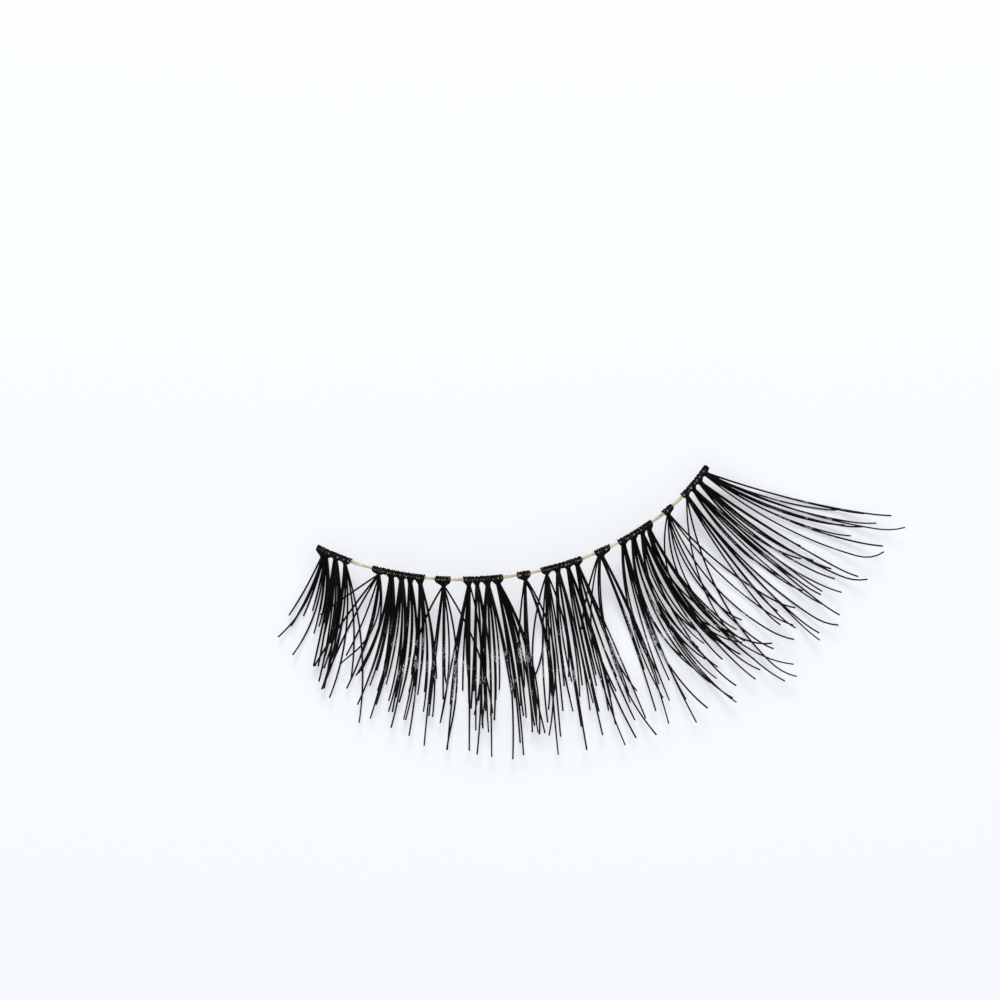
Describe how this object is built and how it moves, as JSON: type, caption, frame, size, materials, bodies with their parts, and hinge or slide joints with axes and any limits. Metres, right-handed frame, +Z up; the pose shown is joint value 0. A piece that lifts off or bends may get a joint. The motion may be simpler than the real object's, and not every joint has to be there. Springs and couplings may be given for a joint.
{
  "type": "false eyelash strip",
  "caption": "False eyelash strip: tufts of black lashes knotted on a thin cream thread that bows along the eyelid, for one eye.",
  "frame": {"origin": "middle of the strip's footprint, on the surface that the lashes' bellies rest on", "axes": "+X along the band from the inner corner of the eye to the outer one, -Y towards the lash tips, +Z up"},
  "size_m": [0.0476, 0.0196, 0.0033],
  "materials": {
    "thread": "cream two-ply cotton thread",
    "lash": "black satin lash hair"
  },
  "bodies": {
    "root": {"band_thread": "thread", "tuft_a1": "lash", "tuft_a2": "lash", "tuft_a3": "lash", "tuft_b1": "lash", "tuft_b2": "lash", "tuft_b3": "lash", "tuft_b4": "lash", "tuft_b5": "lash", "tuft_c1": "lash", "tuft_d1": "lash", "tuft_d2": "lash", "tuft_d3": "lash", "tuft_d4": "lash", "tuft_e1": "lash", "tuft_f1": "lash", "tuft_f2": "lash", "tuft_f3": "lash", "tuft_f4": "lash", "tuft_g1": "lash", "tuft_h1": "lash", "tuft_h2": "lash", "tuft_h3": "lash", "tuft_h4": "lash", "tuft_i1": "lash", "tuft_j1": "lash", "tuft_j2": "lash", "tuft_j3": "lash", "tuft_j4": "lash"}
  },
  "joints": []
}
